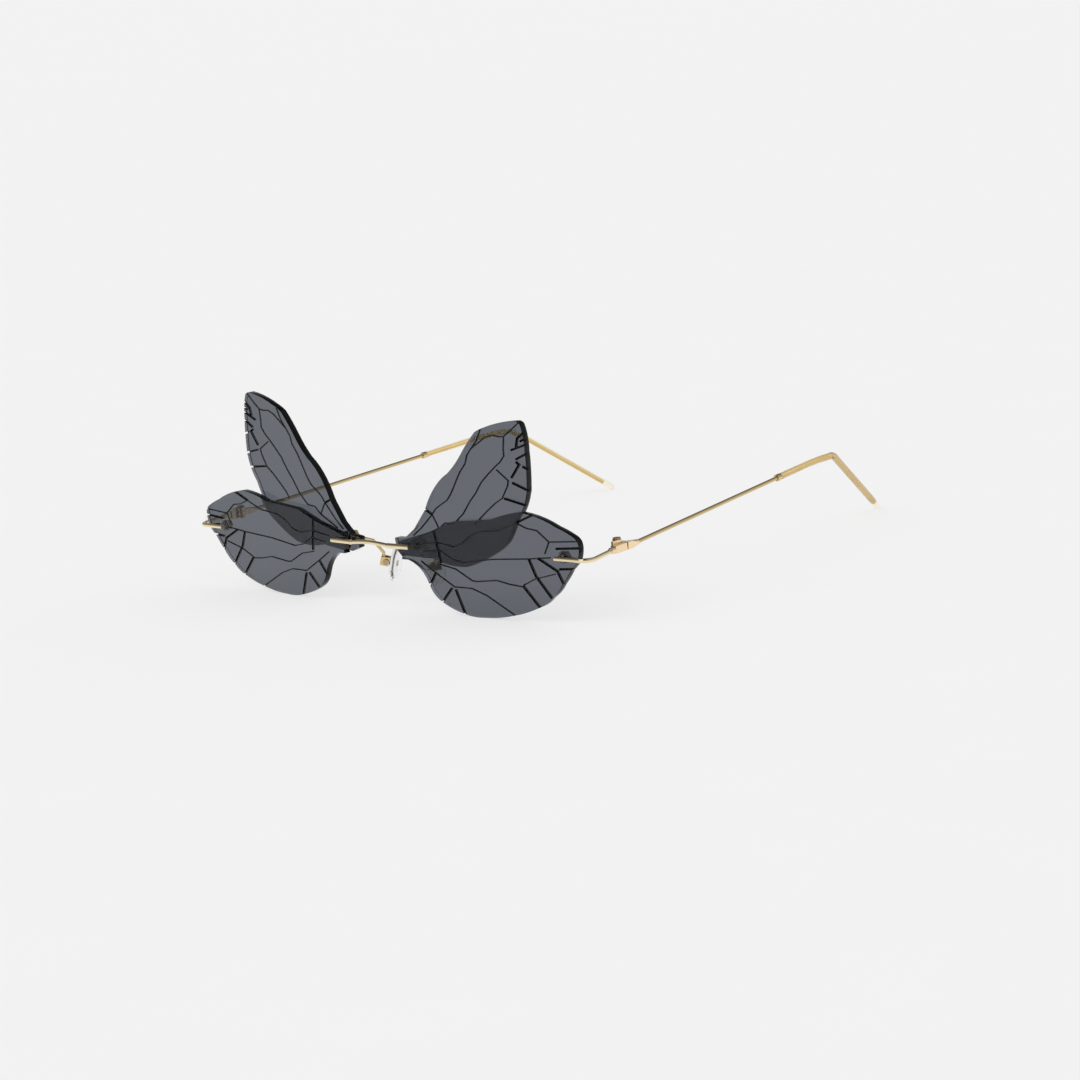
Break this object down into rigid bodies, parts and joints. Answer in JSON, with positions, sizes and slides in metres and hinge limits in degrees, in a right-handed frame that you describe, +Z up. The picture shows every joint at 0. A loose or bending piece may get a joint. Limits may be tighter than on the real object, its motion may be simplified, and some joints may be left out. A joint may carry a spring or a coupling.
{
  "type": "sunglasses",
  "caption": "Rimless sunglasses with flat tinted plates cut and engraved like insect wings, a thin wire front, folding wire temples and clear rocking nose pads.",
  "frame": {"origin": "on the table, under the middle of the outer box", "axes": "+X to the wearer's left, +Y back towards the ears, +Z up"},
  "size_m": [0.1412, 0.1416, 0.0517],
  "materials": {
    "tinted_plate": "tinted acrylic sheet, engraved",
    "clear_ring": "clear plastic",
    "clear_sleeve": "clear plastic tube",
    "clear_pad": "clear moulded plastic",
    "gold_wire": "polished, pale gold plated",
    "gold_hinge": "satin, pale gold plated",
    "gold_fastener": "machined, pale gold plated",
    "gold_ferrule": "polished"
  },
  "bodies": {
    "front": {"lower_wing_left": "tinted_plate", "lower_wing_right": "tinted_plate", "upper_wing_left": "tinted_plate", "upper_wing_right": "tinted_plate", "bridge_wire": "gold_wire", "plate_spacers": "clear_ring", "bridge_washers": "clear_ring", "bridge_nuts": "gold_fastener", "endpiece_wire_left": "gold_wire", "endpiece_wire_right": "gold_wire", "endpiece_washers": "clear_ring", "endpiece_nuts": "gold_fastener", "hinge_front_left": "gold_hinge", "hinge_front_right": "gold_hinge", "hinge_screw_left": "gold_fastener", "hinge_screw_right": "gold_fastener", "pad_arm_left": "gold_wire", "pad_arm_right": "gold_wire", "pad_screw_left": "gold_fastener", "pad_screw_right": "gold_fastener"},
    "temple_left": {"hinge_temple_left": "gold_hinge", "temple_wire_left": "gold_wire", "ferrule_left": "gold_ferrule", "temple_tip_left": "clear_sleeve"},
    "temple_right": {"hinge_temple_right": "gold_hinge", "temple_wire_right": "gold_wire", "ferrule_right": "gold_ferrule", "temple_tip_right": "clear_sleeve"},
    "pad_left": {"nose_pad_left": "clear_pad"},
    "pad_right": {"nose_pad_right": "clear_pad"}
  },
  "joints": [
    {"name": "temple_left_fold", "type": "hinge", "parent": "front", "child": "temple_left", "pos_m": [0.06757, -0.0537, 0.01689], "axis": [0, 0, 1], "range_deg": [0, 85]},
    {"name": "temple_right_fold", "type": "hinge", "parent": "front", "child": "temple_right", "pos_m": [-0.06757, -0.0537, 0.01689], "axis": [0, 0, -1], "range_deg": [0, 82]},
    {"name": "pad_left_rock", "type": "hinge", "parent": "front", "child": "pad_left", "pos_m": [0.009, -0.05671, 0.0083], "axis": [0.5, 0.866, 0], "range_deg": [-10, 10]},
    {"name": "pad_right_rock", "type": "hinge", "parent": "front", "child": "pad_right", "pos_m": [-0.009, -0.05671, 0.0083], "axis": [-0.5, 0.866, 0], "range_deg": [-10, 10]}
  ]
}
